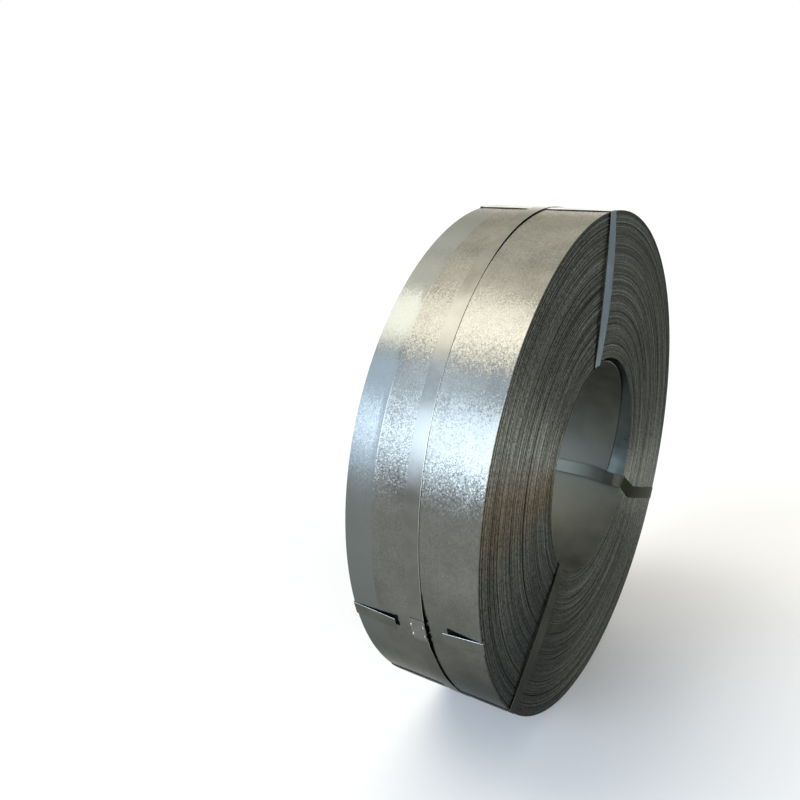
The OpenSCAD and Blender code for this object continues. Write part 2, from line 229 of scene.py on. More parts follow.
def slitEdgeMaterial():
    material, tree = startMaterial("shearedStripEdges")
    place = addNode(tree, "ShaderNodeTexCoord").outputs["Object"]
    # Turned so that the angle's seam is hidden under the front strap
    seamTurn = math.radians(180 - slitEdge["seamAngle"])
    turned = addNode(tree, "ShaderNodeMapping", {"Rotation": (seamTurn, 0, 0)}, {"Vector": place})
    axes = addNode(tree, "ShaderNodeSeparateXYZ", links={0: turned.outputs[0]})
    flat = addNode(tree, "ShaderNodeCombineXYZ", links={1: axes.outputs[1], 2: axes.outputs[2]})
    radius = addNode(tree, "ShaderNodeVectorMath", {"operation": "LENGTH"}, {0: flat.outputs[0]})
    turn = addNode(tree, "ShaderNodeMath", {"operation": "ARCTAN2"},
                   {0: axes.outputs[2], 1: axes.outputs[1]})
    # Noise in polar space: one cell for each turn, or for a group of them, and long along the arc
    streaks = []
    for acrossMm, arcMm, detail in slitEdge["streaksMm"]:
        across = addNode(tree, "ShaderNodeMath", {"operation": "DIVIDE", 1: acrossMm * mm},
                         {0: radius.outputs[1]})
        around = addNode(tree, "ShaderNodeMath",
                         {"operation": "MULTIPLY", 1: coil["outerR"] / (arcMm * mm)},
                         {0: turn.outputs[0]})
        space = addNode(tree, "ShaderNodeCombineXYZ", links={0: across.outputs[0], 1: around.outputs[0]})
        streak = addNode(tree, "ShaderNodeTexNoise", {"Scale": 1, "Detail": detail, "Roughness": 0.6},
                         {"Vector": space.outputs[0]})
        streaks.append(streak.outputs[0])
    fine, wide = streaks
    groupLow, groupHigh = slitEdge["groupRange"]
    wideTone = addNode(tree, "ShaderNodeMapRange", {"From Min": groupLow, "From Max": groupHigh},
                       {"Value": wide})
    grouped = addNode(tree, "ShaderNodeMix",
                      {"data_type": "RGBA", 6: linearHex(slitEdge["dark"]), 7: linearHex(slitEdge["mid"])},
                      {0: wideTone.outputs[0]})
    # Painted glints: some turns pulled towards a light tone, as if catching a lamp
    glintLow, glintHigh = slitEdge["glintRange"]
    glint = addNode(tree, "ShaderNodeMapRange",
                    {"From Min": glintLow, "From Max": glintHigh, "To Max": slitEdge["glintShare"]},
                    {"Value": fine})
    glinting = addNode(tree, "ShaderNodeMix", {"data_type": "RGBA", 7: linearHex(slitEdge["light"])},
                       {0: glint.outputs[0], 6: grouped.outputs[2]})
    brownFrom = math.radians(slitEdge["brownAngle"]) + seamTurn
    away = addNode(tree, "ShaderNodeMath", {"operation": "SUBTRACT", 1: brownFrom}, {0: turn.outputs[0]})
    away = addNode(tree, "ShaderNodeMath", {"operation": "ABSOLUTE"}, {0: away.outputs[0]})
    brownTone = addNode(tree, "ShaderNodeMapRange",
                        {"interpolation_type": "SMOOTHSTEP",
                         "From Min": math.radians(slitEdge["brownHalf"]), "From Max": 0,
                         "To Max": slitEdge["brownShare"]},
                        {"Value": away.outputs[0]})
    brownLow, brownHigh = slitEdge["brownRange"]
    brownLines = addNode(tree, "ShaderNodeMapRange", {"From Min": brownLow, "From Max": brownHigh},
                         {"Value": wide})
    brownTone = addNode(tree, "ShaderNodeMath", {"operation": "MULTIPLY"},
                        {0: brownTone.outputs[0], 1: brownLines.outputs[0]})
    browned = addNode(tree, "ShaderNodeMix", {"data_type": "RGBA", 7: linearHex(slitEdge["brown"])},
                      {0: brownTone.outputs[0], 6: glinting.outputs[2]})
    # Gaps between turns painted as dark lines of shade, and the grain of the shear's burr
    seamLow, seamHigh = slitEdge["seamRange"]
    seam = addNode(tree, "ShaderNodeMapRange",
                   {"From Min": seamLow, "From Max": seamHigh, "To Min": slitEdge["seamTone"], "To Max": 1},
                   {"Value": fine})
    lined = addNode(tree, "ShaderNodeMix", {"data_type": "RGBA", "blend_type": "MULTIPLY", 0: 1},
                    {6: browned.outputs[2], 7: seam.outputs[0]})
    grain = addNode(tree, "ShaderNodeTexNoise", {"Scale": 1 / (slitEdge["burrMm"] * mm), "Detail": 1},
                    {"Vector": place})
    grainTone = addNode(tree, "ShaderNodeMapRange",
                        {"From Min": noiseLow, "From Max": noiseHigh,
                         "To Min": 1 - slitEdge["burr"], "To Max": 1 + slitEdge["burr"]},
                        {"Value": grain.outputs[0]})
    colour = addNode(tree, "ShaderNodeMix", {"data_type": "RGBA", "blend_type": "MULTIPLY", 0: 1},
                     {6: lined.outputs[2], 7: grainTone.outputs[0]})
    smooth, rough = slitEdge["roughness"]
    dull = addNode(tree, "ShaderNodeMapRange", {"To Min": smooth, "To Max": rough}, {"Value": wide})
    ringwise = addNode(tree, "ShaderNodeTangent", {"direction_type": "RADIAL", "axis": "X"})
    shader = addNode(tree, "ShaderNodeBsdfPrincipled",
                     {"Metallic": 1, "Anisotropic": slitEdge["combed"],
                      "Anisotropic Rotation": slitEdge["combTurn"],
                      "Specular Tint": linearHex(slitEdge["grazing"])},
                     {"Base Color": colour.outputs[2], "Roughness": dull.outputs[0],
                      "Tangent": ringwise.outputs[0]})
    addNode(tree, "ShaderNodeOutputMaterial", links={0: shader.outputs[0]})
    return material


# Cold-rolled strap: smooth and close to mirror-like, a little mottled by wear and finely pitted
rolledStrap = dict(
    cloudMm=45, cloudRange=(0.38, 0.66), dulling=(-0.04, 0.06),
    pitMm=1.4, pitStrength=0.06, pitDepth=0.2 * mm,  # pits coarsened to show
    # painted shade darkens a strap up to here from the far end, and from here on at the near end
    farShadeTo=0.6 * halfW, nearShadeFrom=halfW - 3 * mm,
)


def rolledStrapMaterial(name, colour, worn, roughness, grazing, farShade=1, endShade=1, bare=1):
    material, tree = startMaterial(name)
    place = addNode(tree, "ShaderNodeTexCoord").outputs["Object"]
    clouds = addNode(tree, "ShaderNodeTexNoise",
                     {"Scale": 1 / (rolledStrap["cloudMm"] * mm), "Detail": 5, "Roughness": 0.6},
                     {"Vector": place})
    pits = addNode(tree, "ShaderNodeTexNoise", {"Scale": 1 / (rolledStrap["pitMm"] * mm), "Detail": 2},
                   {"Vector": place})
    cloudLow, cloudHigh = rolledStrap["cloudRange"]
    tone = addNode(tree, "ShaderNodeMapRange", {"From Min": cloudLow, "From Max": cloudHigh},
                   {"Value": clouds.outputs[0]})
    mottled = addNode(tree, "ShaderNodeMix",
                      {"data_type": "RGBA", 6: linearHex(colour), 7: linearHex(worn)},
                      {0: tone.outputs[0]})
    # Painted shade: darker towards the far end, and darker on the near end
    axes = addNode(tree, "ShaderNodeSeparateXYZ", links={0: place})
    for low, high, atLow, atHigh in ((-halfW, rolledStrap["farShadeTo"], farShade, 1),
                                     (rolledStrap["nearShadeFrom"], halfW, 1, endShade)):
        shade = addNode(tree, "ShaderNodeMapRange",
                        {"From Min": low, "From Max": high, "To Min": atLow, "To Max": atHigh},
                        {"Value": axes.outputs[0]})
        mottled = addNode(tree, "ShaderNodeMix", {"data_type": "RGBA", "blend_type": "MULTIPLY", 0: 1},
                          {6: mottled.outputs[2], 7: shade.outputs[0]})
    smoother, rougher = rolledStrap["dulling"]
    dull = addNode(tree, "ShaderNodeMapRange",
                   {"From Min": noiseLow, "From Max": noiseHigh,
                    "To Min": roughness + smoother, "To Max": roughness + rougher},
                   {"Value": clouds.outputs[0]})
    pitted = addNode(tree, "ShaderNodeBump",
                     {"Strength": rolledStrap["pitStrength"], "Distance": rolledStrap["pitDepth"]},
                     {"Height": pits.outputs[0]})
    shader = addNode(tree, "ShaderNodeBsdfPrincipled",
                     {"Metallic": bare, "Specular Tint": linearHex(grazing)},
                     {"Base Color": mottled.outputs[2], "Roughness": dull.outputs[0],
                      "Normal": pitted.outputs[0]})
    addNode(tree, "ShaderNodeOutputMaterial", links={0: shader.outputs[0]})
    return material


# Coil: one turned body, its turns stepping in and out on both ends

coil = dict(
    turns=111, pitch=3 * mm, scatter=1.2 * mm, scatterStep=137.5,
    slipped=(11, 21, 27, 31, 34, 36), slipCycle=37, slipDepth=2.2 * mm, slipWave=0.7,
    headCreep=48 * mm, headAngle=331, headSweep=109, headLead=36,
    sag=13 * mm, sagFrom=8, sagMost=66, sagTo=98, sagDepth=45 * mm, leastSag=0.3 * mm, openSag=2 * mm,
    clipAngle=198.4, clipSlant=2.5, clipHalfW=16.4 * mm, clipPocket=25 * mm,
    segments=196, justBy=0.03, edgeRound=0.5 * mm, wobble=0.25 * mm,
    wavesEach=2, waveSize=(0.4, 1), waveCount=(1, 5),
    outerRows=20, boreRows=8, crease=0.12 * mm, creaseHalf=1.2 * mm, seed=11,
)
coil["outerR"] = boreR + coil["turns"] * coil["pitch"]
coil["clipOff"] = math.degrees(halfW * math.sin(math.radians(coil["clipSlant"])) / coil["outerR"])
outerSlot, endSlot, boreSlot, baredSlot = range(4)


# How far the loose head of the innermost turn has crept in from the near end
def headCreepAt(degrees):
    past = (degrees - coil["headAngle"]) % 360
    if past > coil["headSweep"]:
        return 0
    lead = coil["headLead"]
    start, now, end = (math.cos(math.radians(lead + part)) for part in (0, past, coil["headSweep"]))
    return coil["headCreep"] * (now - end) / (start - end)


# The crept turn hangs loose from the next one at the upper rear
def sagAt(degrees):
    up = smoothStep(coil["sagFrom"], coil["sagMost"], degrees)
    down = smoothStep(coil["sagTo"], coil["sagMost"], degrees)
    drop = coil["sag"] * min(up, down)
    return drop if drop > coil["leastSag"] else 0


def buildCoil(materials):
    turns, pitch, outerR = coil["turns"], coil["pitch"], coil["outerR"]
    clipOff = coil["clipOff"]
    clipArc = math.degrees(coil["clipHalfW"] / outerR)
    dice = random.Random(coil["seed"])
    # A pair of close stations at each place where an edge steps
    marks = [coil["headAngle"]]
    marks += [coil["clipAngle"] + end * clipOff + side * clipArc for end in (-1, 1) for side in (-1, 1)]
    angles = [i * 360 / coil["segments"] for i in range(coil["segments"])]
    angles = sorted(angles + [mark + side * coil["justBy"] for mark in marks for side in (-1, 1)])

    def drawWave():
        return dice.uniform(*coil["waveSize"]), dice.randint(*coil["waveCount"]), dice.uniform(0, 2 * math.pi)

    waves = [[drawWave() for _ in range(coil["wavesEach"])] for _ in range(2 * turns)]

    # How far the edge of turn i sits back from its end at an angle
    def setBack(i, end, degrees):
        inClip = abs((degrees - coil["clipAngle"] + end * clipOff + 180) % 360 - 180) < clipArc
        if i == turns - 2 and inClip:
            return coil["clipPocket"]
        if i == 0 and end > 0:
            return headCreepAt(degrees)
        if i in (0, turns - 1):
            return 0
        angle = math.radians(degrees)
        row = waves[2 * i + (end > 0)]
        wave = sum(size * math.sin(count * angle + shift) for size, count, shift in row) / coil["wavesEach"]
        back = coil["scatter"] * (0.5 - 0.5 * math.cos(math.radians(i * coil["scatterStep"])))
        if i % coil["slipCycle"] in coil["slipped"]:
            back += coil["slipDepth"] * (1 + coil["slipWave"] * wave)
        else:
            back += coil["wobble"] * (1 + wave)
        return max(back, 0)

    creaseX = -halfW + zinc["bandMm"] * mm
    rowXs = list(np.linspace(-halfW + coil["edgeRound"], halfW - coil["edgeRound"], coil["outerRows"]))
    rowXs = sorted(rowXs + [creaseX - coil["creaseHalf"], creaseX, creaseX + coil["creaseHalf"]])
    verts = []
    for degrees in angles:
        outward, _ = radialAxes(degrees)
        profile = []
        for i in range(turns):
            x = -halfW + setBack(i, -1, degrees)
            last = i == turns - 1
            profile.append((x, boreR + i * pitch))
            profile.append((x, boreR + (i + 1) * pitch - (coil["edgeRound"] if last else 0)))
        for x in rowXs:
            profile.append((x, outerR + (coil["crease"] if x == creaseX else 0)))
        for i in range(turns - 1, 0, -1):
            x = halfW - setBack(i, 1, degrees)
            last = i == turns - 1
            profile.append((x, boreR + (i + 1) * pitch - (coil["edgeRound"] if last else 0)))
            profile.append((x, boreR + i * pitch))
        # The crept turn, with the gap above it where it sags
        headX = halfW - setBack(0, 1, degrees)
        sag = sagAt(degrees)
        gapX = headX - coil["sagDepth"] * min(sag / coil["openSag"], 1)
        profile += [(gapX, boreR + pitch), (gapX, boreR + pitch - sag)]
        profile += [(headX, boreR + pitch - sag), (headX, boreR - sag)]
        for k in range(1, coil["boreRows"]):
            share = k / coil["boreRows"]
            profile.append((headX + (profile[0][0] - headX) * share, boreR - sag * (1 - share)))
        verts += [(x, rho * outward.y, rho * outward.z) for x, rho in profile]

    count = len(profile)
    around = len(angles)
    farEnd = 2 * turns - 1
    nearStart = 2 * turns + len(rowXs)
    nearEnd = nearStart + 2 * turns + 1
    baredStart = nearEnd - 4  # the wall that the crept turn has laid bare, and the gap above that turn
    faces, faceSlots = [], []
    for a in range(around):
        b = (a + 1) % around
        for k in range(count):
            n = (k + 1) % count
            faces.append((a * count + k, b * count + k, b * count + n, a * count + n))
            if baredStart <= k < nearEnd - 1:
                faceSlots.append(baredSlot)
            elif k < farEnd or nearStart <= k < nearEnd:
                faceSlots.append(endSlot)
            else:
                faceSlots.append(outerSlot if k < nearStart else boreSlot)
    addPiece("stripCoil", verts, faces, materials, "coil", faceSlots)


# Straps: a flat section swept along a line of stations

strap = dict(width=32 * mm, thick=0.8 * mm, edge=0.22 * mm)
faceSlot, edgeSlot, backSlot = range(3)
ringSlots = [backSlot] + [edgeSlot] * 3 + [faceSlot] + [edgeSlot] * 3
sectionCorners = len(ringSlots)


# Corners of a flat section with its edges bevelled, the inner face first
def bevelledSection(half, low, high, edge):
    return ((edge - half, low), (half - edge, low), (half, low + edge), (half, high - edge),
            (half - edge, high), (edge - half, high), (-half, high - edge), (-half, low + edge))


# Faces from ring to ring, each ring given by its first corner, and a cap on both ends
def joinRings(starts, corners):
    faces = []
    for a, b in zip(starts, starts[1:]):
        for k in range(corners):
            n = (k + 1) % corners
            faces.append((a + k, a + n, b + n, b + k))
    faces.append(tuple(starts[0] + k for k in range(corners))[::-1])
    faces.append(tuple(starts[-1] + k for k in range(corners)))
    return faces


# A station holds the middle of the inner face, the way out from it, the way across and half the width
def sweepStrap(name, stations, steel, node):
    verts, starts = [], []
    for middle, outward, across, half in stations:
        starts.append(len(verts))
        section = bevelledSection(half, 0, strap["thick"], strap["edge"])
        verts += [middle + across * w + outward * h for w, h in section]
    faceSlots = ringSlots * (len(stations) - 1) + [edgeSlot] * 2
    addPiece(name, verts, joinRings(starts, sectionCorners), steel, node, faceSlots)


# Stations along points, with a wished way out at each of them
def stationsAlong(points, outwards, halves, twists=None):
    stations = []
    for i, point in enumerate(points):
        ahead = points[min(i + 1, len(points) - 1)]
        behind = points[max(i - 1, 0)]
        along = (ahead - behind).normalized()
        out = outwards[i] - along * outwards[i].dot(along)
        out.normalize()
        across = out.cross(along).normalized()
        if twists:
            turn = Matrix.Rotation(twists[i], 3, along)
            out, across = turn @ out, turn @ across
        stations.append((point, out, across, halves[i]))
    return stations


# The way out from point i of a path of (x, radius), in the plane of the axis and outward
def wayOut(path, i, outward):
    ahead, behind = path[min(i + 1, len(path) - 1)], path[max(i - 1, 0)]
    alongX, alongR = ahead[0] - behind[0], ahead[1] - behind[1]
    size = math.hypot(alongX, alongR)
    return Vector((-alongR / size, 0, 0)) + outward * (alongX / size)


# Seals and their crimps

seal = dict(
    length=57 * mm, wall=0.9 * mm, gap=0.2 * mm, recess=3 * mm, edge=0.35 * mm, plainRings=15,
    notchR=3.2 * mm, notchPitch=26 * mm, notchSteps=12,
)
seal["out"] = seal["wall"] + seal["gap"]
seal["half"] = strap["width"] / 2 + seal["gap"] + seal["wall"]
seal["low"], seal["high"] = -seal["out"], 2 * strap["thick"] + seal["out"]
seal["notches"] = (-seal["notchPitch"] / 2, seal["notchPitch"] / 2)
# A lug's root, length and taper go with the notch's radius, its thinning with the wall
lug = dict(rise=2.4 * mm, bend=100, steps=5, root=1.25, curl=0.48, length=0.95, taper=0.35, thinning=0.55)


# Half width at a distance along the seal from its middle, bitten in at the two crimps
def bittenHalf(half, along):
    bite = 0
    for middle in seal["notches"]:
        off = abs(along - middle)
        if off < seal["notchR"]:
            bite = math.sqrt(seal["notchR"] ** 2 - off ** 2) - (seal["half"] - half)
    return half - max(bite, 0)


def crimpSteps():
    steps = set(np.linspace(-seal["length"] / 2, seal["length"] / 2, seal["plainRings"]))
    for middle in seal["notches"]:
        for k in range(seal["notchSteps"] + 1):
            steps.add(middle - seal["notchR"] * math.cos(math.pi * k / seal["notchSteps"]))
    return sorted(steps)


# The sleeve runs along place(along, across, up): a bitten block, hollow at both mouths, with four lugs
def buildSeal(name, place, steel, node):
    wall, low, high = seal["wall"], seal["low"], seal["high"]
    verts = []

    def ring(along, half, bottom, top):
        start = len(verts)
        verts.extend(place(along, w, h) for w, h in bevelledSection(half, bottom, top, seal["edge"]))
        return start

    end = seal["length"] / 2
    mouth = (seal["half"] - wall, low + wall, high - wall)
    starts = [ring(seal["recess"] - end, *mouth), ring(-end, *mouth)]
    starts += [ring(along, bittenHalf(seal["half"], along), low, high) for along in crimpSteps()]
    starts += [ring(end, *mouth), ring(end - seal["recess"], *mouth)]
    faces = joinRings(starts, sectionCorners)
    sleeveFaces = len(faces)

    # A lug is the tongue bent up out of each bite: wide at its root, curled outward, thin at its tip
    for side in (-1, 1):
        for middle in seal["notches"]:
            rows = []
            for k in range(lug["steps"] + 1):
                share = k / lug["steps"]
                bend = math.radians(lug["bend"] * share)
                up = high - wall / 2 + lug["rise"] * math.sin(bend)
                away = seal["half"] - seal["notchR"] * lug["root"]
                away += lug["rise"] * lug["curl"] * (1 - math.cos(bend))
                halfL = seal["notchR"] * (lug["length"] - lug["taper"] * share)
                halfT = wall * (1 - lug["thinning"] * share) / 2
                rows.append(len(verts))
                corners = ((-halfL, -halfT), (halfL, -halfT), (halfL, halfT), (-halfL, halfT))
                verts.extend(place(middle + l, side * (away + t), up) for l, t in corners)
            faces += joinRings(rows, len(corners))
    faceSlots = [0] * sleeveFaces + [1] * (len(faces) - sleeveFaces)
    piece = addPiece(name, verts, faces, steel, node, faceSlots)
    # The lugs on one side are mirrored, so all faces are turned outward
    shape = bmesh.new()
    shape.from_mesh(piece.data)
    bmesh.ops.recalc_face_normals(shape, faces=shape.faces)
    shape.to_mesh(piece.data)
    shape.free()


# Belt round the outside, its ends lapped through one seal, standing off where it is slack

belt = dict(
    gap=0.4 * mm, shift=-1 * mm, tilt=1.5, tiltDir=150, slackAngle=199, slackH=4.8 * mm, slackSpan=11,
    sealBack=10 * mm, lapPast=1, lapEnd=157.5, tuck=4, step=0.75, blend=0.25 * mm,
    # Angle, height and half span of each lift: three eye straps, then the slack
    lifts=((92.5, 1.35 * mm, 5.5), (333, 1.35 * mm, 5.5), (225.5, 1.35 * mm, 5.5),
           (105, 2 * mm, 19), (199, 4.8 * mm, 11), (209, 2.8 * mm, 14)),
)


# The belt lies in a plane that is a little askew
def beltX(point):
    lean = math.radians(belt["tiltDir"])
    off = point.z * math.cos(lean) - point.y * math.sin(lean)
    return belt["shift"] + math.tan(math.radians(belt["tilt"])) * off


# Centre and radius of the circle that lifts the belt to a height and meets the coil at half the span
def offsetCircle(height, span):
    base = coil["outerR"] + belt["gap"]
    top = base + height
    off = (top ** 2 - base ** 2) / (2 * (top - base * math.cos(math.radians(span))))
    return off, top - off


# Taut over each lift, the hollows between them filled out a little
def beltInnerR(degrees):
    base = coil["outerR"] + belt["gap"]
    reaches = [0]
    for angle, height, span in belt["lifts"]:
        off, circle = offsetCircle(height, span)
        away = math.radians(degrees - angle)
        if math.cos(away) > 0:
            reach = off * math.cos(away) + math.sqrt(circle ** 2 - (off * math.sin(away)) ** 2)
            reaches.append(reach - base)
    top = max(reaches)
    return base + top + belt["blend"] * math.log(sum(math.exp((r - top) / belt["blend"]) for r in reaches))


def slackPlace():
    off, circle = offsetCircle(belt["slackH"], belt["slackSpan"])
    centre = radialAxes(belt["slackAngle"])[0] * off
    sealTurn = belt["slackAngle"] - math.degrees(belt["sealBack"] / circle)
    middleX = beltX(centre + radialAxes(sealTurn)[0] * circle)
    yaw = math.atan(math.tan(math.radians(belt["tilt"])) * math.cos(math.radians(sealTurn - belt["tiltDir"])))

    def place(along, across, up):
        onward = along * math.cos(yaw) - across * math.sin(yaw)
        aside = along * math.sin(yaw) + across * math.cos(yaw)
        out = radialAxes(sealTurn + math.degrees(onward / circle))[0]
        return centre + out * (circle + up) + Vector((middleX + aside, 0, 0))
    return place


def buildBelt(strapSteel, sealSteel):
    place = slackPlace()
    sealMiddle = place(0, 0, 0)
    sealAngle = math.degrees(math.atan2(sealMiddle.z, sealMiddle.y)) % 360
    sealArc = math.degrees(seal["length"] / coil["outerR"])
    innerEnd = sealAngle + sealArc / 2 + belt["lapPast"]
    outerEnd = belt["lapEnd"] - 360
    angles = list(np.arange(innerEnd, outerEnd, -belt["step"])) + [outerEnd]
    # The crimps bite the strap too, so it has close stations inside the seal
    for base in (0, -360):
        angles += [sealAngle + base + math.degrees(s / coil["outerR"]) for s in crimpSteps()]
    angles = sorted(set(angles), reverse=True)
    points, outwards, halves = [], [], []
    for degrees in angles:
        outward, _ = radialAxes(degrees)
        lapped = smoothStep(innerEnd - 360 + belt["tuck"], innerEnd - 360, degrees)
        radius = beltInnerR(degrees % 360) + lapped * strap["thick"]
        point = outward * radius
        points.append(point + Vector((beltX(point), 0, 0)))
        outwards.append(outward)
        along = math.radians((degrees - sealAngle + 180) % 360 - 180) * coil["outerR"]
        halves.append(bittenHalf(strap["width"] / 2, along))
    sweepStrap("beltStrap", stationsAlong(points, outwards, halves), strapSteel, "belt_strap")
    buildSeal("beltSeal", place, sealSteel, "belt_seal")


# Eye straps: loops through the bore, stood off the ends, each lapped through a seal on the far end

eyeStraps = dict(
    gap=0.4 * mm, bend=1.2 * mm, lapHalf=44 * mm, stepL=26 * mm, innerShort=4 * mm, outerShort=6 * mm,
    sealR=(boreR + coil["outerR"]) / 2, sideBow=0.5 * mm, step=9 * mm, bendSteps=6,
    pressedGap=0.3 * mm, beltClear=4 * mm, mouthStep=4 * mm, mouthDepth=3 * mm, kinkEnd=0.85 * halfW,
)
eyeList = [
    dict(name="Top", node="top", angle=91.1, slant=6, lean=5, bow=6 * mm, boreBow=0.5 * mm, twist=9),
    dict(name="Rear", node="rear", angle=333, slant=0, lean=0, bow=7 * mm, boreBow=3 * mm, twist=-10,
         dip=24 * mm, dipAt=88 * mm, kinkX=44 * mm, kinkShift=8 * mm,
         mouthRise=9 * mm, mouthL=23 * mm),
    dict(name="Front", node="front", angle=225.5, slant=0, lean=0, bow=6 * mm, boreBow=0.5 * mm, twist=-9),
]


def arcBow(share, height):
    return height * (1 - (2 * share - 1) ** 2)


def eyePlanePath(eye):
    gap, bend, outerR = eyeStraps["gap"], eyeStraps["bend"], coil["outerR"]
    sealR, lap, stepL = eyeStraps["sealR"], eyeStraps["lapHalf"], eyeStraps["stepL"]
    farX, nearX = -halfW - gap, halfW + gap
    topR, lowR = outerR + gap, boreR - gap
    path = []

    # A straight run, bowed sideways in x and outward in radius
    def run(start, end, bowX=0, bowR=0):
        length = math.hypot(end[0] - start[0], end[1] - start[1])
        count = max(2, round(length / eyeStraps["step"]))
        for k in range(count + 1):
            share = k / count
            path.append((start[0] + (end[0] - start[0]) * share + arcBow(share, bowX),
                         start[1] + (end[1] - start[1]) * share + arcBow(share, bowR)))

    def corner(x, rho, fromAngle):
        for k in range(1, eyeStraps["bendSteps"]):
            turn = math.radians(fromAngle - 90 * k / eyeStraps["bendSteps"])
            path.append((x + bend * math.cos(turn), rho + bend * math.sin(turn)))

    # Start of the inner layer under the seal, out along the far end and over the outside
    innerX = farX - seal["out"]
    run((innerX, sealR - lap + eyeStraps["innerShort"]), (innerX, sealR + lap))
    run((farX, sealR + lap + stepL), (farX, topR - bend))
    corner(farX + bend, topR - bend, 180)
    underBelt = beltX(radialAxes(eye["angle"])[0] * outerR)
    beltHalf = strap["width"] / 2 + eyeStraps["beltClear"]
    pressedR = outerR + eyeStraps["pressedGap"]
    run((farX + bend, topR), (underBelt - beltHalf, pressedR), bowR=eyeStraps["sideBow"])
    run((underBelt + beltHalf, pressedR), (nearX - bend, topR), bowR=eyeStraps["sideBow"])
    corner(nearX - bend, topR - bend, 90)
    # Down the near end into the bore
    run((nearX, topR - bend), (nearX, lowR + bend), bowX=eye["bow"])
    corner(nearX - bend, lowR + bend, 0)
    # A strap that stands off the wall comes down to it in a short slope at the mouth
    mouthX, mouthR = nearX - bend, lowR
    if "mouthRise" in eye:
        mouthR = lowR - eye["mouthRise"]
        run((mouthX, lowR), (mouthX - eye["mouthL"], mouthR))
        mouthX -= eye["mouthL"] + eyeStraps["mouthStep"]
    run((mouthX, mouthR), (farX + bend, lowR), bowR=-eye["boreBow"])
    corner(farX + bend, lowR + bend, 270)
    # Back up the far end and over the first layer
    outerX = innerX - strap["thick"]
    run((farX, lowR + bend), (farX, sealR - lap - stepL))
    run((outerX, sealR - lap), (outerX, sealR + lap - eyeStraps["outerShort"]))
    return path


# How far the strap has strayed round the coil from its own direction
def strayAt(eye, x, rho):
    stray = math.tan(math.radians(eye["slant"])) * (coil["outerR"] - rho)
    stray += math.tan(math.radians(eye["lean"])) * (halfW - x)
    if "dip" in eye:
        if x > halfW:
            past = rho - boreR
            full = coil["outerR"] - boreR
            down = past / eye["dipAt"] if past < eye["dipAt"] else (full - past) / (full - eye["dipAt"])
            stray -= eye["kinkShift"] * max(1 - past / eye["dipAt"], 0) + eye["dip"] * min(max(down, 0), 1)
        elif rho < boreR + eyeStraps["mouthDepth"]:
            stray -= eye["kinkShift"] * smoothStep(eye["kinkX"], eyeStraps["kinkEnd"], x)
    return stray


def buildEyeStrap(eye, strapSteel, sealSteel):
    sealR = eyeStraps["sealR"]
    path = eyePlanePath(eye)

    def axesAt(x, rho):
        return radialAxes(eye["angle"] + math.degrees(math.asin(strayAt(eye, x, rho) / rho)))

    points, outwards, twists, halves = [], [], [], []
    for i, (x, rho) in enumerate(path):
        outward, _ = axesAt(x, rho)
        points.append(Vector((x, 0, 0)) + outward * rho)
        outwards.append(wayOut(path, i, outward))
        # Twisted most half way down the near end, not at all elsewhere
        onNear = x > halfW and boreR < rho < coil["outerR"]
        share = (rho - boreR) / (coil["outerR"] - boreR)
        twists.append(math.radians(eye["twist"]) * math.sin(math.pi * share) if onNear else 0)
        crimped = x < -halfW and abs(rho - sealR) < seal["length"] / 2
        half = strap["width"] / 2
        halves.append(bittenHalf(half, rho - sealR) if crimped else half)
    stations = stationsAlong(points, outwards, halves, twists)
    sweepStrap("eyeStrap" + eye["name"], stations, strapSteel, "eye_strap_" + eye["node"])

    baseX = -halfW - eyeStraps["gap"] - seal["out"]

    def place(along, across, up):
        outward, onward = axesAt(-halfW, sealR + along)
        return Vector((baseX - up, 0, 0)) + outward * (sealR + along) + onward * across

    buildSeal("eyeSeal" + eye["name"], place, sealSteel, "eye_seal_" + eye["node"])


# Edge clip: a strap under the last turn, bent back over both edges

clip = dict(
    gap=0.3 * mm, farFlap=103 * mm, farLift=2.3, nearFlap=80 * mm, nearLift=4.8,
    hookOut=0.7 * mm, hookSteps=10, flapSteps=10, underSteps=12, curl=0.7 * mm,
)


def buildEdgeClip(steel):
    outerR, pitch = coil["outerR"], coil["pitch"]
    hookR = pitch / 2 + clip["gap"]
    middleR = outerR - pitch / 2
    endX = halfW + clip["hookOut"]

    # Flap from its cut end to the hook, lifting off and curling up a little at the cut
    def flap(side, length, lift):
        points = []
        for k in range(clip["flapSteps"] + 1):
            share = 1 - k / clip["flapSteps"]
            rise = math.sin(math.radians(lift)) * length * share + clip["curl"] * share ** 3
            points.append((side * (endX - length * share), middleR + hookR + rise))
        return points

    def hook(side):
        points = []
        for k in range(1, clip["hookSteps"]):
            turn = math.pi * k / clip["hookSteps"]
            points.append((side * (endX + hookR * math.sin(turn)), middleR + hookR * math.cos(turn)))
        return points

    path = flap(1, clip["nearFlap"], clip["nearLift"]) + hook(1)
    for k in range(clip["underSteps"] + 1):
        path.append((endX - 2 * endX * k / clip["underSteps"], middleR - hookR))
    path += hook(-1)[::-1] + flap(-1, clip["farFlap"], clip["farLift"])[::-1]
    # Slanted under the turn, straight along the bore in its flaps
    bent = clip["flapSteps"] + clip["hookSteps"]
    under = range(bent, len(path) - bent)
    points, outwards = [], []
    for i, (x, rho) in enumerate(path):
        share = x / endX if i in under else 1 if x > 0 else -1
        outward, _ = radialAxes(coil["clipAngle"] - coil["clipOff"] * share)
        points.append(Vector((x, 0, 0)) + outward * rho)
        outwards.append(wayOut(path, i, outward))
    halves = [strap["width"] / 2] * len(path)
    sweepStrap("edgeClip", stationsAlong(points, outwards, halves), steel, "edge_clip")
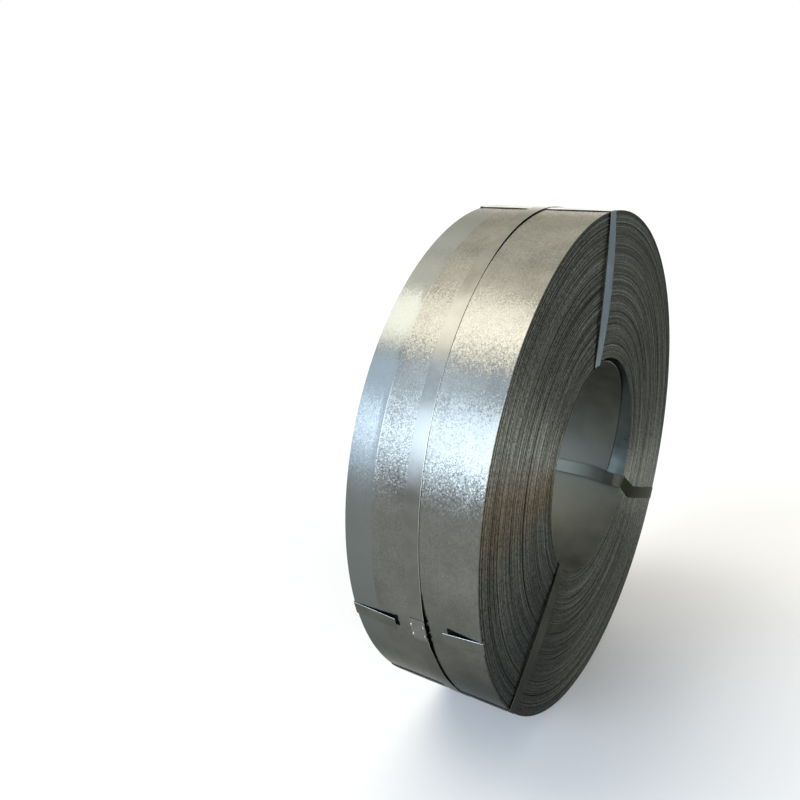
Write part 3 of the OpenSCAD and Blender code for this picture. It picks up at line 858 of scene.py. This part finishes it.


# Build everything

# Steel by how its surface was made, and what that gives the eye; some carry painted light or shade
finishes = dict(
    # Handled: flat grey, with painted shade making it darker deep in the bore
    innerWrap=dict(name="galvanisedInnerWrap", colour="#5a5c56", worn="#62645d", roughness=0.55,
                   grazing="#b8b8b6", farShade=0.5),
    # Zinc that was covered until its turn crept: cooler, with a soft sheen
    bared=dict(name="galvanisedFreshlyBared", colour="#778283", worn="#838d8e", roughness=0.3,
               grazing="#c4c8ca"),
    # Painted light: undersides pale and with little metal, so the shade under a strap catches light
    dullBack=dict(name="coldRolledStrapUndersidePaintedLight", colour="#7c8a8c", worn="#889698", roughness=0.6,
                  grazing="#d8dad8", bare=0.15),
    # Fresh from the shear: a bright line along a strap
    brightEdge=dict(name="shearedStrapEdge", colour="#a4a8a6", worn="#b6bab8", roughness=0.3,
                    grazing="#e0e2e0"),
    # Painted shade: a sheared edge darkened into a dark line along a strap
    shadedEdge=dict(name="shearedStrapEdgePaintedShade", colour="#41443f", worn="#4d4f4b", roughness=0.4,
                  grazing="#b0b0ac"),
    # As rolled: the belt mirrors the lamps nearly as the zinc does
    bright=dict(name="coldRolledStrapBright", colour="#61625e", worn="#6b6c68", roughness=0.19,
                grazing="#b0b0ae"),
    # Painted light: a pale, bluish copy of the eye strap steel, paler where it meets light at a slant
    pale=dict(name="coldRolledStrapPaintedLight", colour="#566166", worn="#636e73", roughness=0.24,
              grazing="#d4d8da"),
    # Painted shade: a dark copy of the eye strap steel, darker still deep in the bore and on the near end
    shadedRear=dict(name="coldRolledStrapPaintedShadeRear", colour="#43453f", worn="#4d4f48", roughness=0.34,
               grazing="#b0b0ac", farShade=0.6, endShade=0.5),
    # Painted shade: a dark copy of the eye strap steel, with a soft sheen
    shadedFront=dict(name="coldRolledStrapPaintedShadeFront", colour="#42433f", worn="#4b4b47", roughness=0.34,
               grazing="#b6b6b2"),
    # Greased: as grey as the zinc round it, and smoother
    greased=dict(name="coldRolledStrapGreased", colour="#5c5d58", worn="#676863", roughness=0.2,
                 grazing="#b0b0ae"),
    # Pressed to shape: a little duller and lighter than the belt
    pressed=dict(name="pressedSealSteel", colour="#6a6c69", worn="#777976", roughness=0.24,
                 grazing="#b8bab8"),
    # Torn by the crimper: bare, and painted near white, so each lug shows a painted glint
    tornGlint=dict(name="tornSealSteelPaintedGlint", colour="#d8dad8", worn="#e4e6e4", roughness=0.35,
              grazing="#f4f4f4"),
)
zincStrip, slitEdges = zincStripMaterial(), slitEdgeMaterial()
steel = {key: rolledStrapMaterial(**finish) for key, finish in finishes.items()}
# Each strap by its face, its edge and its underside
beltSteel = [steel["bright"], steel["brightEdge"], steel["dullBack"]]
clipSteel = [steel["greased"], steel["brightEdge"], steel["dullBack"]]
# One steel for all eye straps, painted lighter on the top one and darker on the rear and front ones
eyeFaces = dict(Top="pale", Rear="shadedRear", Front="shadedFront")
eyeSteel = {name: [steel[face], steel["shadedEdge"], steel["dullBack"]] for name, face in eyeFaces.items()}
sealSteel = [steel["pressed"], steel["tornGlint"]]

buildCoil([zincStrip, slitEdges, steel["innerWrap"], steel["bared"]])
print("coil wound:", coil["turns"], "turns")
buildBelt(beltSteel, sealSteel)
print("belt and its seal on")
for eye in eyeList:
    buildEyeStrap(eye, eyeSteel[eye["name"]], sealSteel)
print("eye straps and seals on:", len(eyeList))
buildEdgeClip(clipSteel)
print("edge clip on")


# Stage: pale floor, soft lamps, white surroundings

stage = dict(
    floorColour="#d6d9db", floorHalf=30, floorGlow=0.08, worldFill=0.4,
    lamps=(
        dict(name="warmKey", towards=(-0.439, -0.29, 0.85), spread=29, strength=0.75, colour="#fff8ea"),
        dict(name="keyGlow", towards=(-0.43, -0.05, 0.902), spread=44, strength=0.95, colour="#fff2dc"),
        dict(name="coolFront", towards=(-0.452, -0.815, 0.358), spread=54, strength=1.6, colour="#cbe2ff"),
        dict(name="coolPane", towards=(-0.39, -0.878, 0.278), spread=24, strength=0.28, colour="#d9eaff"),
        dict(name="coolRight", towards=(-0.27, -0.895, 0.355), spread=35, strength=1.35, colour="#dcebff"),
        dict(name="paleBack", towards=(-0.38, 0.765, 0.515), spread=60, strength=1.6, colour="#fff3e0"),
        dict(name="sideFill", towards=(0.9, -0.44, 0.1), spread=40, strength=3, colour="#f6f7f8"),
    ),
)


# One where the eye or a mirror looks, none where only light travels
def seenRay(tree):
    light = addNode(tree, "ShaderNodeLightPath")
    seen = addNode(tree, "ShaderNodeMath", {"operation": "MAXIMUM"},
                   {0: light.outputs["Is Camera Ray"], 1: light.outputs["Is Glossy Ray"]})
    seen = addNode(tree, "ShaderNodeMath", {"operation": "MAXIMUM"},
                   {0: seen.outputs[0], 1: light.outputs["Is Transmission Ray"]})
    return seen.outputs[0]


def buildStage():
    scene = bpy.context.scene
    scene.view_settings.view_transform = "Standard"
    half, level = stage["floorHalf"], cadBox[0][2]
    corners = [(-half, -half, level), (half, -half, level), (half, half, level), (-half, half, level)]
    mesh = bpy.data.meshes.new("paleFloor")
    mesh.from_pydata(corners, [], [(0, 1, 2, 3)])
    floor = bpy.data.objects.new("paleFloor", mesh)
    scene.collection.objects.link(floor)
    material, tree = startMaterial("paleFloorPaint")
    # A little glow of its own takes the floor up to the white of the room, and the shadow stays
    paint = addNode(tree, "ShaderNodeBsdfDiffuse", {"Color": linearHex(stage["floorColour"])})
    glowLevel = addNode(tree, "ShaderNodeMath", {"operation": "MULTIPLY", 1: stage["floorGlow"]},
                        {0: seenRay(tree)})
    glow = addNode(tree, "ShaderNodeEmission", links={"Strength": glowLevel.outputs[0]})
    both = addNode(tree, "ShaderNodeAddShader", links={0: paint.outputs[0], 1: glow.outputs[0]})
    addNode(tree, "ShaderNodeOutputMaterial", links={0: both.outputs[0]})
    mesh.materials.append(material)

    world = bpy.data.worlds.new("whiteRoom")
    scene.world = world
    world.use_nodes = True
    tree = world.node_tree
    tree.nodes.clear()
    fill = addNode(tree, "ShaderNodeMapRange", {"To Min": stage["worldFill"], "To Max": 1},
                   {"Value": seenRay(tree)})
    back = addNode(tree, "ShaderNodeBackground", {"Color": (1, 1, 1, 1)}, {"Strength": fill.outputs[0]})
    addNode(tree, "ShaderNodeOutputWorld", links={0: back.outputs[0]})

    for lamp in stage["lamps"]:
        sun = bpy.data.lights.new(lamp["name"], "SUN")
        sun.energy = lamp["strength"]
        sun.angle = math.radians(lamp["spread"])
        sun.color = linearHex(lamp["colour"])[:3]
        holder = bpy.data.objects.new(lamp["name"], sun)
        holder.rotation_euler = Vector(lamp["towards"]).to_track_quat("Z", "Y").to_euler()
        scene.collection.objects.link(holder)


camera = dict(place=(0.735, -1.742, 0.731), yaw=33.12, pitch=-17.72, focalPx=814, imagePx=800, sensorMm=36)


def buildCamera():
    lens = bpy.data.cameras.new("photoView")
    lens.sensor_width = camera["sensorMm"]
    lens.lens = camera["focalPx"] / camera["imagePx"] * camera["sensorMm"]
    eye = bpy.data.objects.new("photoView", lens)
    eye.location = camera["place"]
    eye.rotation_euler = (math.radians(90 + camera["pitch"]), 0, math.radians(camera["yaw"]))
    bpy.context.scene.collection.objects.link(eye)
    bpy.context.scene.camera = eye


buildStage()
buildCamera()
print("stage, lamps and camera set")

bpy.context.view_layer.update()
